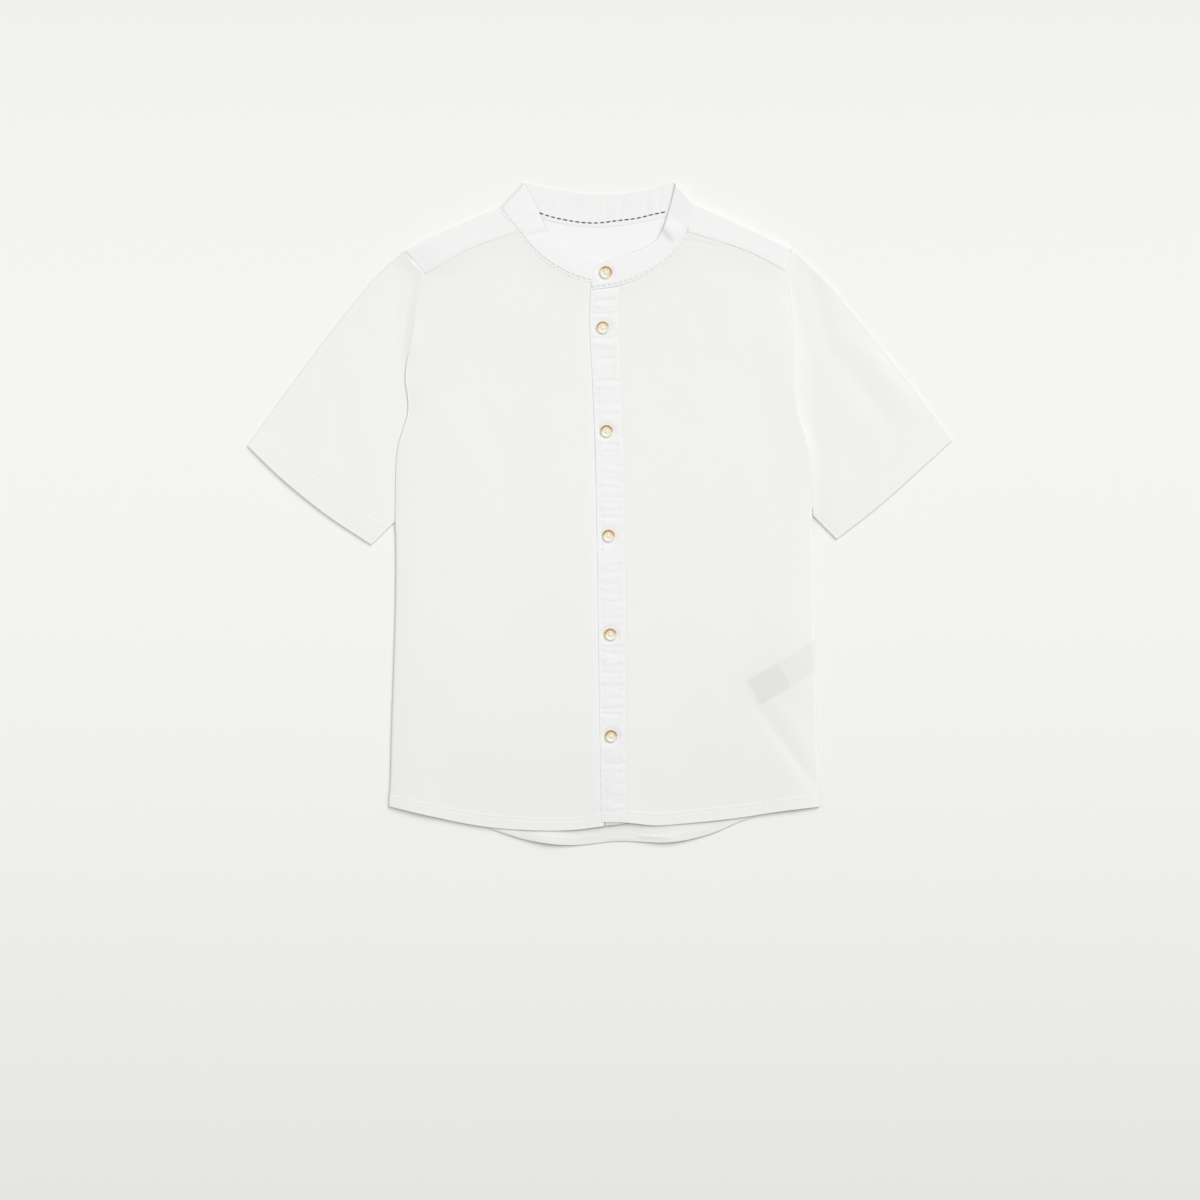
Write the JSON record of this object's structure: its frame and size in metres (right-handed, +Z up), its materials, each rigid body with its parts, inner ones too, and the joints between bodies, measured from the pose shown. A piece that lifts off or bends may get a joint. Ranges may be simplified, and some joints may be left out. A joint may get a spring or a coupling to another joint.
{
  "type": "short-sleeved band-collar shirt",
  "caption": "Child's white cotton shirt with short sleeves, a band collar and a buttoned front, laid flat on its back.",
  "frame": {"origin": "on the surface that the shirt lies on, under the middle of its outline seen from above", "axes": "+Z up out of the front, +Y from the hem towards the collar, +X towards the wearer's left sleeve"},
  "size_m": [0.6208, 0.5841, 0.01],
  "materials": {
    "cotton": "plain-weave cotton, slightly slubby, matt",
    "doubled_cotton": "the same cotton, two plies, matt and whiter",
    "label_satin": "thin woven ribbon, slight sheen",
    "button_resin": "horn-like resin, polished, amber to cream"
  },
  "bodies": {
    "root": {"back": "cotton", "yoke": "doubled_cotton", "front_right": "cotton", "front_left": "cotton", "button_stand": "doubled_cotton", "placket": "doubled_cotton", "collar_band": "doubled_cotton", "sleeve_right": "cotton", "sleeve_left": "cotton", "care_label": "label_satin", "button_band": "button_resin", "button_front_1": "button_resin", "button_front_2": "button_resin", "button_front_3": "button_resin", "button_front_4": "button_resin", "button_front_5": "button_resin"}
  },
  "joints": []
}
